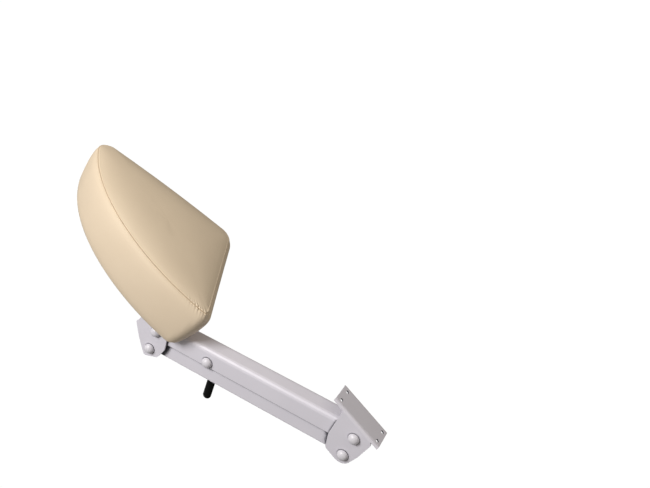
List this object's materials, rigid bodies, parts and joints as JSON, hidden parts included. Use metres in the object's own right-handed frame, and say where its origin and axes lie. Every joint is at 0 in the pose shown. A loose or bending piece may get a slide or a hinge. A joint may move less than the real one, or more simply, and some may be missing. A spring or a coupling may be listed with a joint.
{
  "type": "side bolster",
  "caption": "Half-D upholstered side bolster for a massage table's backrest, on a white parallel-link steel arm with pivot caps, a clamp bolt and a black clamp lever.",
  "frame": {"origin": "centre of the base bracket's flat top face, where it screws under the backrest", "axes": "+Z is that face's normal, up through the backrest; -X runs to the pad and the head end; +Y runs in under the table, so -Y is the outer side with the white caps"},
  "size_m": [0.6814, 0.1999, 0.273],
  "materials": {
    "cream_vinyl": "satin",
    "foam": "matte",
    "plywood": "matte",
    "dust_cloth": "matte",
    "white_paint": "satin",
    "white_plastic": "gloss",
    "nylon": "matte",
    "zinc_steel": "satin",
    "fibre": "matte",
    "black_plastic": "satin"
  },
  "bodies": {
    "base": {"base_bracket": "white_paint", "base_upper_pivot_bolt": "zinc_steel", "base_upper_pivot_cap": "white_plastic", "base_upper_steel_washer": "zinc_steel", "base_upper_lock_nut": "zinc_steel", "base_upper_washer_outer_side": "nylon", "base_upper_washer_table_side": "nylon", "base_lower_pivot_bolt": "zinc_steel", "base_lower_pivot_cap": "white_plastic", "base_lower_steel_washer": "zinc_steel", "base_lower_lock_nut": "zinc_steel", "base_lower_washer_outer_side": "nylon", "base_lower_washer_table_side": "nylon"},
    "upper_link": {"upper_channel": "white_paint", "upper_base_sleeve": "zinc_steel", "upper_head_sleeve": "zinc_steel", "clamp_bolt": "zinc_steel", "clamp_cap": "white_plastic", "clamp_friction_washer_outer_side": "fibre", "clamp_friction_washer_table_side": "fibre", "clamp_spacer": "zinc_steel", "clamp_washer": "zinc_steel"},
    "lower_link": {"lower_channel": "white_paint", "lower_base_sleeve": "zinc_steel", "lower_head_sleeve": "zinc_steel"},
    "head": {"head_bracket": "white_paint", "pad_plate": "white_paint", "pad_cover": "cream_vinyl", "pad_foam": "foam", "pad_board": "plywood", "pad_dust_cover": "dust_cloth", "pad_tee_nut_1": "zinc_steel", "pad_tee_nut_2": "zinc_steel", "pad_tee_nut_3": "zinc_steel", "pad_tee_nut_4": "zinc_steel", "pad_screw_1": "zinc_steel", "pad_screw_2": "zinc_steel", "pad_screw_3": "zinc_steel", "pad_screw_4": "zinc_steel", "head_upper_pivot_bolt": "zinc_steel", "head_upper_pivot_cap": "white_plastic", "head_upper_steel_washer": "zinc_steel", "head_upper_lock_nut": "zinc_steel", "head_upper_washer_outer_side": "nylon", "head_upper_washer_table_side": "nylon", "head_lower_pivot_bolt": "zinc_steel", "head_lower_pivot_cap": "white_plastic", "head_lower_steel_washer": "zinc_steel", "head_lower_lock_nut": "zinc_steel", "head_lower_washer_outer_side": "nylon", "head_lower_washer_table_side": "nylon"},
    "clamp_lever": {"lever_hub": "zinc_steel", "lever_rod": "zinc_steel", "lever_grip": "black_plastic"}
  },
  "joints": [
    {"name": "arm_lift", "type": "hinge", "parent": "base", "child": "upper_link", "pos_m": [0.008, 0, -0.024], "axis": [0, 1, 0], "range_deg": [-2, 28.5]},
    {"name": "lower_link_swing", "type": "hinge", "parent": "base", "child": "lower_link", "pos_m": [0.0201, 0, -0.0638], "axis": [0, 1, 0], "range_deg": [-2, 28.5]},
    {"name": "head_level", "type": "hinge", "parent": "upper_link", "child": "head", "pos_m": [-0.3249, 0, -0.20453], "axis": [0, 1, 0], "range_deg": [-28.5, 2]},
    {"name": "clamp_turn", "type": "hinge", "parent": "upper_link", "child": "clamp_lever", "pos_m": [-0.2281, 0, -0.16341], "axis": [0, 1, 0], "range_deg": [-6, 44]}
  ],
  "couplings": [
    {"joint": "lower_link_swing", "follows": "arm_lift", "ratio": 1},
    {"joint": "head_level", "follows": "arm_lift", "ratio": -1}
  ]
}
